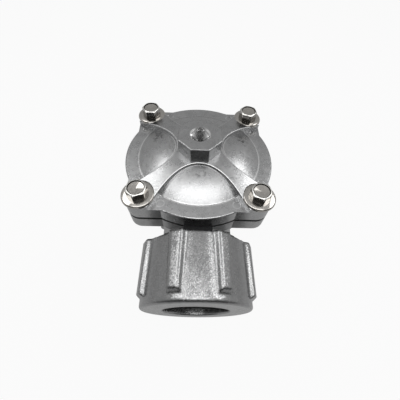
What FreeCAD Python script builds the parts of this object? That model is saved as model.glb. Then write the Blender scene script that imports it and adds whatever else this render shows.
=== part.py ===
import FreeCAD, Part
import math
import os

from FreeCAD import Placement, Rotation, Vector

# Right-angle diaphragm pulse valve with a compression nut on each port.
# Millimetres, +Z up. The origin is the centre of the outlet nut's end face, on the outlet axis.
# The inlet points along -Y. The cover's flange top is the highest flat ring.

# Pipe and ports, the same on the inlet and on the outlet
PIPE_RADIUS = 16.85
PIPE_CLEARANCE = 0.35
SOCKET_LENGTH = 24.0
PIPE_STOP = 2.5
FLOW_RADIUS = 13.5
PASSAGE_RADIUS = 17.5
MOUTH_RADIUS = 22.4
MOUTH_HALF_ANGLE = 30.0
THREAD_RADIUS = 25.2
THREAD_GAP = 0.4
THREAD_RUNOUT = 2.0
NECK_RADIUS = 21.0
INLET_NECK_FILLET = 4.0
OUTLET_NECK_FILLET = 1.5

# Compression nut
NUT_LENGTH = 33.9
NUT_WALL = 4.4
NUT_FRONT_WALL = 5.0
NUT_HOLE_RADIUS = 18.1
NUT_FRONT_ROUND = 1.6
NUT_BACK_BEVEL = 0.7
NUT_THREAD_CHAMFER = 1.0
NUT_RIBS = 8
RIB_HEIGHT = 2.4
RIB_CREST_HALF = (2.6, 3.0)
RIB_FOOT_HALF = (3.7, 5.2)
RIB_FOOT_FILLET = (1.5, 3.0)
RIB_ROUND = 1.3
RIB_SKIRT = 3.0
RIB_SKIRT_DROP = 1.0
RIB_ROOT = 2.5
RIB_SHORT_OF_FRONT = 4.3
RIB_END_SLOPE = 1.7
RIB_END_ROUND = 1.0
INLET_RIB_CLOCK = 20.4
OUTLET_RIB_CLOCK = 9.0

# Gland inside each nut: a steel thrust ring and a rubber seal
RING_THICKNESS = 1.6
RING_PLAY = 0.2
RING_SIDE_PLAY = 0.5
SEAL_CLEARANCE = 0.1
SEAL_NOSE_WALL = 0.9
STUB_SHORT_OF_FACE = 12.5
TIGHTENING_TRAVEL = 1.5
SEATED_GAP = 0.6

# Body casting
AXIS_ABOVE_NUT = 28.0
NUT_TO_FLANGE = 4.6
PARTING_ABOVE_INLET = 21.9
BODY_FLANGE = 8.6
BOWL_INSET = 7.5
BOWL_WALL = 4.5
BOWL_FLOOR = 5.5
BOWL_TO_NUT = 4.6
BOWL_ROUND = 12.0
TUBE_WALL = 4.0
LIP_WIDTH = 2.0
LIP_BEVEL = 2.5
CHAMBER_BEVEL = 3.0

# Cover casting
COVER_RADIUS = 44.0
BOLT_BEYOND_EDGE = 0.9
EAR_RADIUS = 7.55
COVER_FLANGE = 8.2
COVER_EDGE_ROUND = 0.8
FLAT_RING_WIDTH = 8.0
CROWN_RADIUS = 12.0
PETAL_APEX = 13.4
PETAL_CORNER_INSET = 1.5
PETAL_CORNER_ANGLE = 34.2
PETAL_EDGE_RISE = 0.4
PETAL_MIDDLE = (26.0, 4.2)
PETAL_TOP = 6.6
ARM_END_RISE = 2.6
ARM_SHOULDER_INSET = 3.0
ARM_SHOULDER_RISE = 3.3
ARM_SHOULDER_ROUND = 6.0
ARM_MIDDLE = (28.0, 6.0)
ARM_TOP = 7.6
ARM_EDGE_ROUND = 0.7
SPOT_FACE_RADIUS = 8.5
BOSS_ACROSS_FLATS = 24.0
BOSS_TOP = 16.2
BOSS_CHAMFER = 0.35
PORT_RADIUS = 4.86
PORT_CHAMFER = 0.85
EJECTOR_INSET = 3.6
EJECTOR_ANGLE = 30.0
EJECTOR_RADIUS = 2.1
EJECTOR_DEPTH = 0.2
COVER_WALL = 3.6
POCKET_RADIUS = 9.5
POCKET_CEILING = 6.0
STOP_WALL = 2.5
STOP_SLOTS = 4
STOP_SLOT_WIDTH = 3.0
STOP_SLOT_HEIGHT = 4.0

# Diaphragm and what it carries
DIAPHRAGM = 2.0
DIAPHRAGM_INSET = 0.1
DISH_DEPTH = 8.0
DISH_EDGE_GAP = 0.5
DISH_INNER = 19.0
TAB_WIDTH = 15.6
TAB_REACH = 2.4
BLEED_RADIUS = 1.0
BLEED_AT = 17.4
LIFT = 7.0
STOP_GAP = 0.3
SEAT_DISC_RADIUS = 17.0
SEAT_DISC = 3.0
SEAT_DISC_BEVEL = 0.5
PLATE_RADIUS = 15.0
PLATE = 1.5
PLATE_LIP = 1.6
PLATE_BEVEL = 0.8
RIVET_RADIUS = 2.5
RIVET_HEAD_RADIUS = 5.0
RIVET_HEAD = 1.4
RIVET_HEAD_BEVEL = 0.7
FIT_GAP = 0.1

# Closing spring
SPRING_WIRE = 1.2
SPRING_RADIUS = 7.9
SPRING_TURNS = 3
SPRING_PLAY = 0.1
SPRING_ARCS = 4

# Cover bolts and their conical washers
BOLT_RADIUS = 3.0
BOLT_LENGTH = 22.0
BOLT_TAP_GAP = 0.1
BOLT_HOLE_GAP = 0.3
HEX_ACROSS_FLATS = 9.6
HEX_HEIGHT = 5.3
HEX_ROUND = 0.5
HEX_CLOCKS = {"front_left": 20.0, "front_right": 38.0, "back_left": 0.0, "back_right": 40.0}
RECESS_RADIUS = 4.1
RECESS_DEPTH = 0.9
WASHER_RADIUS = 8.25
WASHER_EDGE = 0.9
WASHER_CROWN = 1.3
WASHER_FLAT_RADIUS = 5.4
WASHER_THICKNESS = 1.2

# Derived heights above the outlet nut's face
INLET_HEIGHT = NUT_LENGTH + AXIS_ABOVE_NUT
PARTING_HEIGHT = INLET_HEIGHT + PARTING_ABOVE_INLET
COVER_BOTTOM = PARTING_HEIGHT + DIAPHRAGM
COVER_TOP = COVER_BOTTOM + COVER_FLANGE
BOWL_BOTTOM = NUT_LENGTH + BOWL_TO_NUT
DISH_TOP = COVER_BOTTOM - DISH_DEPTH
SEAT_HEIGHT = DISH_TOP - DIAPHRAGM - SEAT_DISC
PLATE_TOP = DISH_TOP + PLATE
STOP_BOTTOM = PLATE_TOP + LIFT + STOP_GAP
POCKET_TOP = COVER_TOP + POCKET_CEILING
EAR_SEAT = COVER_TOP + ARM_END_RISE
WASHER_TOP = EAR_SEAT + WASHER_CROWN

# Derived radii and lengths
INLET_REACH = COVER_RADIUS + NUT_TO_FLANGE + NUT_LENGTH
SOCKET_RADIUS = PIPE_RADIUS + PIPE_CLEARANCE
NUT_THREAD_RADIUS = THREAD_RADIUS + THREAD_GAP
NUT_RADIUS = NUT_THREAD_RADIUS + NUT_WALL
RING_FROM_FACE = NUT_FRONT_WALL + RING_PLAY
SEAL_FROM_FACE = RING_FROM_FACE + RING_THICKNESS
BOWL_RADIUS = COVER_RADIUS - BOWL_INSET
BOWL_INNER = BOWL_RADIUS - BOWL_WALL
TUBE_OUTER = FLOW_RADIUS + TUBE_WALL
DISH_OUTER = BOWL_INNER - DISH_EDGE_GAP
EAR_CENTRE = (COVER_RADIUS + BOLT_BEYOND_EDGE) / math.sqrt(2)
EAR_HALF = EAR_CENTRE + EAR_RADIUS
FLAT_RING_INNER = COVER_RADIUS - FLAT_RING_WIDTH
MOUTH_SLOPE = math.tan(math.radians(MOUTH_HALF_ANGLE))

UP = Vector(0, 0, 1)
ABOVE_EVERYTHING = COVER_TOP + 2 * BOSS_TOP
CUT_MARGIN = 1.0
COINCIDENT = 1e-6
NEARLY = 0.01
CORNERS = {"front_left": (-1, -1), "front_right": (1, -1), "back_left": (-1, 1), "back_right": (1, 1)}


# Drawing helpers

def rounded_wire(corners, place):
    """Closed wire through (u, v) or (u, v, radius) corners, with place(u, v) giving each point in space."""
    points = [Vector(corner[0], corner[1], 0) for corner in corners]
    radii = [corner[2] if len(corner) > 2 else 0.0 for corner in corners]
    spots, edges = [], []
    for index, (point, radius) in enumerate(zip(points, radii)):
        back = (points[index - 1] - point).normalize()
        ahead = (points[(index + 1) % len(points)] - point).normalize()
        half_angle = back.getAngle(ahead) / 2
        reach = radius / math.tan(half_angle)
        inward = (back + ahead).normalize() if radius else Vector()
        middle = point + inward * (radius / math.sin(half_angle) - radius)
        rounding = (point + back * reach, middle, point + ahead * reach)
        spots.append([place(spot.x, spot.y) for spot in rounding])
    for index, (start, middle, end) in enumerate(spots):
        leaving = spots[index - 1][2]
        if leaving.distanceToPoint(start) > COINCIDENT:
            edges.append(Part.LineSegment(leaving, start).toShape())
        if radii[index]:
            edges.append(Part.Arc(start, middle, end).toShape())
    return Part.Wire(edges)


def turned(corners):
    """Solid of revolution about Z from a closed outline of (radius, height) corners."""
    outline = Part.Face(rounded_wire(corners, lambda u, v: Vector(u, 0, v)))
    return outline.revolve(Vector(0, 0, 0), UP, 360)


def prism(corners, bottom, top):
    """Solid between two heights from a plan outline of (x, y) corners."""
    outline = Part.Face(rounded_wire(corners, lambda u, v: Vector(u, v, bottom)))
    return outline.extrude(Vector(0, 0, top - bottom))


def cylinder(radius, bottom, top, x=0.0, y=0.0):
    return Part.makeCylinder(radius, top - bottom, Vector(x, y, bottom))


def polygon(sides, across_flats, bottom, top, x=0.0, y=0.0):
    """Regular prism with a flat facing -Y."""
    corner_radius = across_flats / 2 / math.cos(math.pi / sides)
    angles = [math.pi * (2 * k + 1) / sides - math.pi / 2 for k in range(sides)]
    corners = [(x + corner_radius * math.cos(a), y + corner_radius * math.sin(a)) for a in angles]
    return prism(corners, bottom, top)


def around(shape, count, start=0.0):
    """Copies of a shape turned evenly about Z, the first one by the start angle."""
    copies = []
    for k in range(count):
        copy = shape.copy()
        copy.rotate(Vector(0, 0, 0), UP, start + 360.0 * k / count)
        copies.append(copy)
    return copies


def bolt_centres():
    return [(sx * EAR_CENTRE, sy * EAR_CENTRE) for sx, sy in CORNERS.values()]


def bolt_holes(gap, bottom, top):
    return [cylinder(BOLT_RADIUS + gap, bottom, top, x, y) for x, y in bolt_centres()]


def flange_plan(bottom, top, inset=0.0):
    """The round flange with a bolt ear at each corner of a rounded square."""
    half = EAR_HALF - inset
    ear = EAR_RADIUS - inset
    square = [(half, half, ear), (-half, half, ear), (-half, -half, ear), (half, -half, ear)]
    return cylinder(COVER_RADIUS - inset, bottom, top).fuse(prism(square, bottom, top)).removeSplitter()


def fillet_where(shape, radius, wanted):
    """Rounds the edges that wanted(edge) picks."""
    return shape.makeFillet(radius, [edge for edge in shape.Edges if wanted(edge)])


def on_inlet(shape):
    """Moves a port piece from the outlet, facing -Z, to the inlet, facing -Y."""
    moved = shape.copy()
    moved.Placement = Placement(Vector(0, -INLET_REACH, INLET_HEIGHT), Rotation(Vector(1, 0, 0), -90))
    return moved


# Port pieces, drawn on the outlet: the nut's face at height 0 and the valve above

def rib_section(crest, foot, fillet, height):
    """Outline across a rib at one height: rounded crest, sloping sides and soft feet."""
    skin = math.sqrt(NUT_RADIUS ** 2 - foot ** 2)
    root = NUT_RADIUS - RIB_ROOT
    right = [
        (crest, NUT_RADIUS + RIB_HEIGHT, RIB_ROUND),
        (foot, skin, fillet),
        (foot + RIB_SKIRT, skin - RIB_SKIRT_DROP),
        (foot + RIB_SKIRT, root),
    ]
    left = [(-corner[0],) + corner[1:] for corner in reversed(right)]
    return rounded_wire(left + right, lambda u, v: Vector(u, -v, height))


def rib_side_view():
    """Slab with the rib's outline seen from the side: a sloping front end and rounded corners."""
    wide = RIB_FOOT_HALF[1] + RIB_SKIRT + CUT_MARGIN
    root = NUT_RADIUS - RIB_ROOT
    tip = NUT_RADIUS + RIB_HEIGHT
    corners = [
        (RIB_SHORT_OF_FRONT, root),
        (RIB_SHORT_OF_FRONT, NUT_RADIUS),
        (RIB_SHORT_OF_FRONT + RIB_END_SLOPE, tip, RIB_END_ROUND),
        (NUT_LENGTH, tip, RIB_END_ROUND),
        (NUT_LENGTH, root),
    ]
    outline = Part.Face(rounded_wire(corners, lambda u, v: Vector(-wide, -v, u)))
    return outline.extrude(Vector(2 * wide, 0, 0))


def rib():
    """One grip rib of the nut, wider at the nut's back face than at its front end."""
    ends = zip(RIB_CREST_HALF, RIB_FOOT_HALF, RIB_FOOT_FILLET, (RIB_SHORT_OF_FRONT, NUT_LENGTH))
    bar = Part.makeLoft([rib_section(*end) for end in ends], True, True)
    return bar.common(rib_side_view())


def compression_nut(clock):
    """Ribbed nut: threaded behind, with an inner shoulder and the pipe's hole in front."""
    shell = turned([
        (NUT_HOLE_RADIUS, 0),
        (NUT_RADIUS, 0, NUT_FRONT_ROUND),
        (NUT_RADIUS, NUT_LENGTH - NUT_BACK_BEVEL),
        (NUT_RADIUS - NUT_BACK_BEVEL, NUT_LENGTH),
        (NUT_THREAD_RADIUS + NUT_THREAD_CHAMFER, NUT_LENGTH),
        (NUT_THREAD_RADIUS, NUT_LENGTH - NUT_THREAD_CHAMFER),
        (NUT_THREAD_RADIUS, NUT_FRONT_WALL),
        (NUT_HOLE_RADIUS, NUT_FRONT_WALL),
    ])
    return shell.fuse(around(rib(), NUT_RIBS, clock)).removeSplitter()


def thrust_ring():
    outer = NUT_THREAD_RADIUS - RING_SIDE_PLAY
    inner = SOCKET_RADIUS + SEAL_CLEARANCE
    return turned([
        (inner, RING_FROM_FACE),
        (outer, RING_FROM_FACE),
        (outer, SEAL_FROM_FACE),
        (inner, SEAL_FROM_FACE),
    ])


def seal():
    """Rubber ring whose tapered nose the nut drives into the body's mouth."""
    bore = SOCKET_RADIUS + SEAL_CLEARANCE
    nose = bore + SEAL_NOSE_WALL
    shoulder = STUB_SHORT_OF_FACE - TIGHTENING_TRAVEL - SEATED_GAP
    tip = shoulder + (MOUTH_RADIUS - nose) / MOUTH_SLOPE
    return turned([
        (bore, SEAL_FROM_FACE),
        (MOUTH_RADIUS, SEAL_FROM_FACE),
        (MOUTH_RADIUS, shoulder),
        (nose, tip),
        (bore, tip),
    ])


def port_stub(root):
    """Threaded stub outside, up to the root height on the port's own axis."""
    thread_end = NUT_LENGTH + THREAD_RUNOUT
    return turned([
        (0, STUB_SHORT_OF_FACE),
        (THREAD_RADIUS - THREAD_GAP, STUB_SHORT_OF_FACE),
        (THREAD_RADIUS, STUB_SHORT_OF_FACE + THREAD_GAP),
        (THREAD_RADIUS, thread_end - THREAD_RUNOUT),
        (NECK_RADIUS, thread_end),
        (NECK_RADIUS, root),
        (0, root),
    ])


def port_way(flow_end):
    """Space inside a stub: tapered mouth, pipe socket with its stop, and flow bore."""
    mouth_depth = (MOUTH_RADIUS - SOCKET_RADIUS) / MOUTH_SLOPE
    socket_end = STUB_SHORT_OF_FACE + SOCKET_LENGTH
    return turned([
        (0, STUB_SHORT_OF_FACE - CUT_MARGIN),
        (MOUTH_RADIUS + CUT_MARGIN * MOUTH_SLOPE, STUB_SHORT_OF_FACE - CUT_MARGIN),
        (SOCKET_RADIUS, STUB_SHORT_OF_FACE + mouth_depth),
        (SOCKET_RADIUS, socket_end),
        (FLOW_RADIUS, socket_end),
        (FLOW_RADIUS, flow_end),
        (0, flow_end),
    ])


def inlet_passage():
    """Wider cored way from behind the inlet's pipe stop to the chamber."""
    start = STUB_SHORT_OF_FACE + SOCKET_LENGTH + PIPE_STOP
    return on_inlet(cylinder(PASSAGE_RADIUS, start, INLET_REACH - TUBE_OUTER - CUT_MARGIN))


# Body casting

def body():
    """Angle body: bolted flange, bowl, seat tube and two threaded stubs."""
    flange_bottom = PARTING_HEIGHT - BODY_FLANGE
    bowl = turned([
        (0, BOWL_BOTTOM),
        (BOWL_RADIUS, BOWL_BOTTOM, BOWL_ROUND),
        (BOWL_RADIUS, PARTING_HEIGHT),
        (0, PARTING_HEIGHT),
    ])
    inlet_stub = on_inlet(port_stub(INLET_REACH))
    outlet_stub = port_stub(BOWL_BOTTOM + BOWL_FLOOR)
    flange = flange_plan(flange_bottom, PARTING_HEIGHT)
    casting = flange.fuse([bowl, inlet_stub, outlet_stub]).removeSplitter()
    casting = fillet_where(casting, INLET_NECK_FILLET, is_inlet_neck_root)
    casting = fillet_where(casting, OUTLET_NECK_FILLET, is_outlet_neck_root).cut(neck_flat())
    inlet_way = on_inlet(port_way(INLET_REACH - TUBE_OUTER - CUT_MARGIN))
    ways = [chamber(), port_way(SEAT_HEIGHT + CUT_MARGIN), inlet_way, inlet_passage()]
    holes = bolt_holes(BOLT_TAP_GAP, flange_bottom - CUT_MARGIN, PARTING_HEIGHT + CUT_MARGIN)
    return casting.cut(ways + holes).removeSplitter()


def spots_on(edge):
    """The two ends and the middle of an edge."""
    first, last = edge.FirstParameter, edge.LastParameter
    return [edge.valueAt(spot) for spot in (first, (first + last) / 2, last)]


def is_inlet_neck_root(edge):
    """True for the edge where the inlet neck grows out of the bowl."""
    spots = spots_on(edge)
    on_neck = all(abs(math.hypot(s.x, s.z - INLET_HEIGHT) - NECK_RADIUS) < NEARLY for s in spots)
    return on_neck and all(s.y < 0 and math.hypot(s.x, s.y) < BOWL_RADIUS + NEARLY for s in spots)


def is_outlet_neck_root(edge):
    """True for the circle where the outlet neck meets the bowl's underside."""
    return all(abs(math.hypot(s.x, s.y) - NECK_RADIUS) < NEARLY and abs(s.z - BOWL_BOTTOM) < NEARLY
               for s in spots_on(edge))


def neck_flat():
    """What the flange's facing cut takes off the top of the inlet neck."""
    back = -(COVER_RADIUS + NUT_TO_FLANGE - THREAD_RUNOUT)
    half = THREAD_RADIUS
    plan = [(-half, back), (half, back), (half, 0), (-half, 0)]
    return prism(plan, PARTING_HEIGHT, ABOVE_EVERYTHING)


def chamber():
    """Ring-shaped inlet chamber around the seat tube, open under the diaphragm."""
    floor = BOWL_BOTTOM + BOWL_FLOOR
    lip = FLOW_RADIUS + LIP_WIDTH
    top = PARTING_HEIGHT + CUT_MARGIN
    return turned([
        (0, SEAT_HEIGHT),
        (lip, SEAT_HEIGHT),
        (TUBE_OUTER, SEAT_HEIGHT - LIP_BEVEL),
        (TUBE_OUTER, floor),
        (BOWL_INNER - CHAMBER_BEVEL, floor),
        (BOWL_INNER, floor + CHAMBER_BEVEL),
        (BOWL_INNER, top),
        (0, top),
    ])


# Cover casting

def domed(middle, top, rim, floor):
    """Shallow dome over the flange, from its rim points over a middle point of its arc to its crown."""
    crown = COVER_TOP + top
    arc_start = Vector(rim[-1][0], 0, COVER_TOP + rim[-1][1])
    arc_end = Vector(CROWN_RADIUS, 0, crown)
    through = Vector(middle[0], 0, COVER_TOP + middle[1])
    points = [Vector(0, 0, floor), Vector(rim[0][0], 0, floor)]
    points += [Vector(u, 0, COVER_TOP + v) for u, v in rim]
    edges = [Part.LineSegment(a, b).toShape() for a, b in zip(points, points[1:])]
    edges.append(Part.Arc(arc_start, through, arc_end).toShape())
    edges.append(Part.LineSegment(arc_end, Vector(0, 0, crown)).toShape())
    edges.append(Part.LineSegment(Vector(0, 0, crown), points[0]).toShape())
    return Part.Face(Part.Wire(edges)).revolve(Vector(0, 0, 0), UP, 360)


def petal_half_width(distance):
    """Half a petal's width at a distance from the axis: a parabola from its tip through its two corners."""
    reach = COVER_RADIUS - PETAL_CORNER_INSET
    corner_x = reach * math.sin(math.radians(PETAL_CORNER_ANGLE))
    corner_y = reach * math.cos(math.radians(PETAL_CORNER_ANGLE))
    return corner_x * math.sqrt(max(distance - PETAL_APEX, 0) / (corner_y - PETAL_APEX))


def petal_window():
    """Column over the front petal."""
    far = COVER_RADIUS + CUT_MARGIN
    half = petal_half_width(far)
    left = Vector(-half, -far, COVER_BOTTOM)
    right = Vector(half, -far, COVER_BOTTOM)
    pull = Vector(0, far - 2 * PETAL_APEX, COVER_BOTTOM)
    parabola = Part.BezierCurve()
    parabola.setPoles([left, pull, right])
    window = Part.Face(Part.Wire([parabola.toShape(), Part.LineSegment(right, left).toShape()]))
    return window.extrude(Vector(0, 0, ABOVE_EVERYTHING - COVER_BOTTOM))


def cover_skin():
    """Outside of the cover: a raised cross of four arms over four sunken petals and a flat ring."""
    outer = EAR_CENTRE * math.sqrt(2) + EAR_RADIUS + CUT_MARGIN
    shoulder = (COVER_RADIUS - ARM_SHOULDER_INSET, ARM_SHOULDER_RISE)
    cross = domed(ARM_MIDDLE, ARM_TOP, [(outer, ARM_END_RISE), shoulder], COVER_BOTTOM)
    cross = fillet_where(cross, ARM_SHOULDER_ROUND, is_arm_shoulder)
    flat_ring = [(outer, 0), (FLAT_RING_INNER, 0), (FLAT_RING_INNER, PETAL_EDGE_RISE)]
    plan = flange_plan(COVER_BOTTOM, ABOVE_EVERYTHING)
    petals = plan.common(domed(PETAL_MIDDLE, PETAL_TOP, flat_ring, COVER_BOTTOM))
    petals = fillet_where(petals, COVER_EDGE_ROUND, is_cover_edge)
    windows = around(petal_window(), 4)
    arms = plan.common(cross).cut(windows)
    arms = fillet_where(arms, ARM_EDGE_ROUND, is_arm_edge)
    return petals.fuse(arms).removeSplitter()


def is_cover_edge(edge):
    """True for the flat ring's outer arcs between the ears."""
    return all(abs(math.hypot(s.x, s.y) - COVER_RADIUS) < NEARLY and abs(s.z - COVER_TOP) < NEARLY
               for s in spots_on(edge))


def is_arm_shoulder(edge):
    """True for the circle where the arms' dome meets the flatter tops of the ears."""
    radius = COVER_RADIUS - ARM_SHOULDER_INSET
    height = COVER_TOP + ARM_SHOULDER_RISE
    return all(abs(math.hypot(s.x, s.y) - radius) < NEARLY and abs(s.z - height) < NEARLY for s in spots_on(edge))


def is_arm_edge(edge):
    """True for the edges where an arm's top meets the walls round a petal."""
    spots = [sorted((abs(s.x), abs(s.y))) + [s.z] for s in spots_on(edge)]
    return all(abs(near - petal_half_width(far)) < NEARLY and z > COVER_TOP + NEARLY for near, far, z in spots)


def boss():
    """Octagonal boss of the pilot port, its top edge bevelled."""
    block = polygon(8, BOSS_ACROSS_FLATS, COVER_TOP, COVER_TOP + BOSS_TOP)
    top_edges = [edge for edge in block.Edges if edge.BoundBox.ZMin > COVER_TOP + BOSS_TOP - BOSS_CHAMFER]
    return block.makeChamfer(BOSS_CHAMFER, top_edges)


def pilot_port():
    """Threaded pilot hole down through the boss, chamfered at its mouth."""
    top = COVER_TOP + BOSS_TOP
    return turned([
        (0, POCKET_TOP - CUT_MARGIN),
        (PORT_RADIUS, POCKET_TOP - CUT_MARGIN),
        (PORT_RADIUS, top - PORT_CHAMFER),
        (PORT_RADIUS + PORT_CHAMFER + CUT_MARGIN, top + CUT_MARGIN),
        (0, top + CUT_MARGIN),
    ])


def cover_hollow():
    """Air chamber under the cover, with a stop ring left standing round the spring."""
    ceiling = COVER_TOP + PETAL_TOP - COVER_WALL
    edge = COVER_TOP + PETAL_EDGE_RISE - COVER_WALL
    below = COVER_BOTTOM - CUT_MARGIN
    stop_outer = POCKET_RADIUS + STOP_WALL
    dome = turned([
        (0, below),
        (BOWL_INNER, below),
        (BOWL_INNER, edge),
        (PETAL_MIDDLE[0], edge + PETAL_MIDDLE[1]),
        (PETAL_APEX, ceiling),
        (0, ceiling),
    ])
    stop = cylinder(stop_outer, STOP_BOTTOM, POCKET_TOP)
    near, far, half = POCKET_RADIUS - CUT_MARGIN, stop_outer + CUT_MARGIN, STOP_SLOT_WIDTH / 2
    slot_plan = [(near, -half), (far, -half), (far, half), (near, half)]
    slots = around(prism(slot_plan, STOP_BOTTOM - CUT_MARGIN, STOP_BOTTOM + STOP_SLOT_HEIGHT), STOP_SLOTS)
    pocket = cylinder(POCKET_RADIUS, STOP_BOTTOM - CUT_MARGIN, POCKET_TOP)
    return dome.cut(stop).fuse(slots + [pocket])


def ejector_marks():
    bottom = COVER_TOP - EJECTOR_DEPTH
    mark = cylinder(EJECTOR_RADIUS, bottom, COVER_TOP + CUT_MARGIN, COVER_RADIUS - EJECTOR_INSET, 0)
    return around(mark, 4, EJECTOR_ANGLE) + around(mark, 4, 90 - EJECTOR_ANGLE)


def cover():
    spot_faces = [cylinder(SPOT_FACE_RADIUS, EAR_SEAT, ABOVE_EVERYTHING, x, y) for x, y in bolt_centres()]
    holes = bolt_holes(BOLT_HOLE_GAP, COVER_BOTTOM - CUT_MARGIN, ABOVE_EVERYTHING)
    casting = cover_skin().cut(spot_faces).fuse(boss()).removeSplitter()
    return casting.cut([cover_hollow(), pilot_port()] + holes + ejector_marks()).removeSplitter()


# Diaphragm set and spring

def diaphragm():
    """Rubber sheet clamped at its rim and dished down to the seat, with a marking tab at the front."""
    below, above = PARTING_HEIGHT - CUT_MARGIN, COVER_BOTTOM + CUT_MARGIN
    bottom = DISH_TOP - DIAPHRAGM
    rim = flange_plan(PARTING_HEIGHT, COVER_BOTTOM, DIAPHRAGM_INSET)
    rim = rim.cut(cylinder(DISH_OUTER, below, above))
    dish = turned([
        (RIVET_RADIUS + FIT_GAP, bottom),
        (DISH_INNER, bottom),
        (DISH_OUTER, PARTING_HEIGHT),
        (DISH_OUTER, COVER_BOTTOM),
        (DISH_INNER, DISH_TOP),
        (RIVET_RADIUS + FIT_GAP, DISH_TOP),
    ])
    half = TAB_WIDTH / 2
    front = -(COVER_RADIUS + TAB_REACH)
    tab_plan = [(-half, front), (half, front), (half, -BOWL_RADIUS), (-half, -BOWL_RADIUS)]
    tab = prism(tab_plan, PARTING_HEIGHT, COVER_BOTTOM)
    bleed = cylinder(BLEED_RADIUS, bottom - CUT_MARGIN, COVER_BOTTOM, BLEED_AT, 0)
    sheet = rim.fuse([dish, tab]).removeSplitter()
    return sheet.cut([bleed] + bolt_holes(BOLT_HOLE_GAP, below, above))


def top_plate():
    """Steel pressure plate on the diaphragm, with an upturned rim."""
    hole = RIVET_RADIUS + FIT_GAP
    wall = PLATE_RADIUS - PLATE
    top = PLATE_TOP + PLATE_LIP
    return turned([
        (hole, DISH_TOP),
        (PLATE_RADIUS - PLATE_BEVEL, DISH_TOP),
        (PLATE_RADIUS, DISH_TOP + PLATE_BEVEL),
        (PLATE_RADIUS, top),
        (wall, top),
        (wall, PLATE_TOP),
        (hole, PLATE_TOP),
    ])


def seat_disc():
    """Nylon disc under the diaphragm that closes on the seat tube's lip."""
    hole = RIVET_RADIUS + FIT_GAP
    top = SEAT_HEIGHT + SEAT_DISC
    return turned([
        (hole, SEAT_HEIGHT),
        (SEAT_DISC_RADIUS - SEAT_DISC_BEVEL, SEAT_HEIGHT),
        (SEAT_DISC_RADIUS, SEAT_HEIGHT + SEAT_DISC_BEVEL),
        (SEAT_DISC_RADIUS, top),
        (hole, top),
    ])


def rivet():
    """Centre rivet that holds plate, diaphragm and seat disc together."""
    low, high = SEAT_HEIGHT, PLATE_TOP
    crown = RIVET_HEAD_RADIUS - RIVET_HEAD_BEVEL
    return turned([
        (0, low - RIVET_HEAD),
        (crown, low - RIVET_HEAD),
        (RIVET_HEAD_RADIUS, low - RIVET_HEAD + RIVET_HEAD_BEVEL),
        (RIVET_HEAD_RADIUS, low),
        (RIVET_RADIUS, low),
        (RIVET_RADIUS, high),
        (RIVET_HEAD_RADIUS, high),
        (RIVET_HEAD_RADIUS, high + RIVET_HEAD - RIVET_HEAD_BEVEL),
        (crown, high + RIVET_HEAD),
        (0, high + RIVET_HEAD),
    ])


def closing_spring():
    """Coil spring between the plate and the ceiling of the cover's pocket, wound from tangent arcs."""
    bottom = PLATE_TOP + SPRING_PLAY + SPRING_WIRE / 2
    height = POCKET_TOP - SPRING_PLAY - SPRING_WIRE / 2 - bottom

    def on_helix(turns):
        angle = 2 * math.pi * turns
        rise = height * turns / SPRING_TURNS
        return Vector(SPRING_RADIUS * math.cos(angle), SPRING_RADIUS * math.sin(angle), bottom + rise)

    starts = [k / SPRING_ARCS for k in range(SPRING_TURNS * SPRING_ARCS)]
    step = 1 / SPRING_ARCS
    arcs = [Part.Arc(on_helix(t), on_helix(t + step / 2), on_helix(t + step)).toShape() for t in starts]
    first = arcs[0]
    section = Part.Wire(Part.makeCircle(SPRING_WIRE / 2, on_helix(0), first.tangentAt(first.FirstParameter)))
    return Part.Wire(arcs).makePipeShell([section], True, True)


# Fasteners, drawn on the outlet axis and moved to their ears

def cover_bolt(clock):
    """Hex-head bolt with a shallow dished recess in its head, tightened to its own clock angle."""
    head_top = WASHER_TOP + HEX_HEIGHT
    corner = HEX_ACROSS_FLATS / 2 / math.cos(math.pi / 6)
    hexagon = polygon(6, HEX_ACROSS_FLATS, WASHER_TOP, head_top)
    rounding = turned([
        (0, WASHER_TOP),
        (corner, WASHER_TOP),
        (corner, head_top - HEX_ROUND / 2),
        (corner - HEX_ROUND, head_top),
        (0, head_top),
    ])
    shank = cylinder(BOLT_RADIUS, WASHER_TOP - BOLT_LENGTH, WASHER_TOP)
    recess = turned([
        (0, head_top - RECESS_DEPTH),
        (RECESS_RADIUS, head_top - RECESS_DEPTH / 2),
        (RECESS_RADIUS, head_top + CUT_MARGIN),
        (0, head_top + CUT_MARGIN),
    ])
    bolt = hexagon.common(rounding).cut(recess).fuse(shank).removeSplitter()
    return around(bolt, 1, clock)[0]


def conical_washer():
    """Dished washer: its rim rests on the ear and its crown carries the bolt head."""
    hole = BOLT_RADIUS + BOLT_TAP_GAP
    under = WASHER_TOP - WASHER_THICKNESS
    return turned([
        (hole, under),
        (WASHER_FLAT_RADIUS - WASHER_THICKNESS / 2, under),
        (WASHER_RADIUS - WASHER_EDGE, EAR_SEAT),
        (WASHER_RADIUS, EAR_SEAT),
        (WASHER_RADIUS, EAR_SEAT + WASHER_EDGE),
        (WASHER_FLAT_RADIUS, WASHER_TOP),
        (hole, WASHER_TOP),
    ])


def at_ear(shape, corner):
    moved = shape.copy()
    moved.translate(Vector(corner[0] * EAR_CENTRE, corner[1] * EAR_CENTRE, 0))
    return moved


# All nodes

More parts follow.
